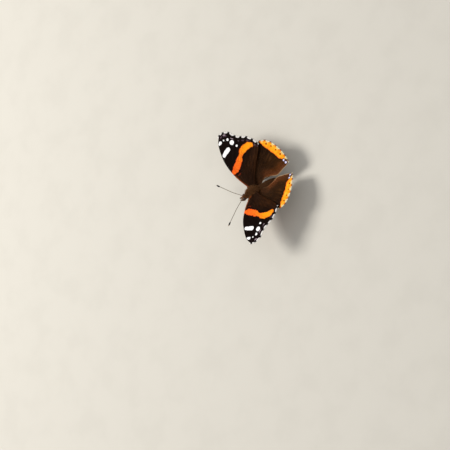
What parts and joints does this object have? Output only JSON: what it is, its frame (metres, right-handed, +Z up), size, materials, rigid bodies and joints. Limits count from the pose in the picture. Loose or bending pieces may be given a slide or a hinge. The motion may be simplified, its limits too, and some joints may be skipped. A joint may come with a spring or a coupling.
{
  "type": "red admiral butterfly",
  "caption": "Life-size still butterfly, wings spread and raised, standing on thin legs, with clubbed antennae and scalloped wing margins.",
  "frame": {"origin": "on the ground, below the middle of the bounding box", "axes": "+Z up, +Y towards the head, +X to the butterfly's right"},
  "size_m": [0.0662, 0.0446, 0.0186],
  "materials": {
    "forewing_scales": "velvety wing scales, dark brown with an orange-red band and white spots",
    "hindwing_scales": "velvety wing scales, dark brown with an orange marginal band",
    "body_hair": "short brown hair",
    "abdomen_scales": "flat brown scales and hair",
    "eye": "glossy dark brown compound eye",
    "antenna": "ringed shaft and black club with a pale tip",
    "leg": "brown scaled cuticle",
    "proboscis": "satin dark cuticle"
  },
  "bodies": {
    "root": {"abdomen": "abdomen_scales", "antenna_left": "antenna", "antenna_right": "antenna", "eye_left": "eye", "eye_right": "eye", "foreleg_left": "leg", "foreleg_right": "leg", "forewing_left": "forewing_scales", "forewing_right": "forewing_scales", "head": "body_hair", "hindleg_left": "leg", "hindleg_right": "leg", "hindwing_left": "hindwing_scales", "hindwing_right": "hindwing_scales", "midleg_left": "leg", "midleg_right": "leg", "palp_left": "body_hair", "palp_right": "body_hair", "proboscis": "proboscis", "thorax": "body_hair"}
  },
  "joints": []
}
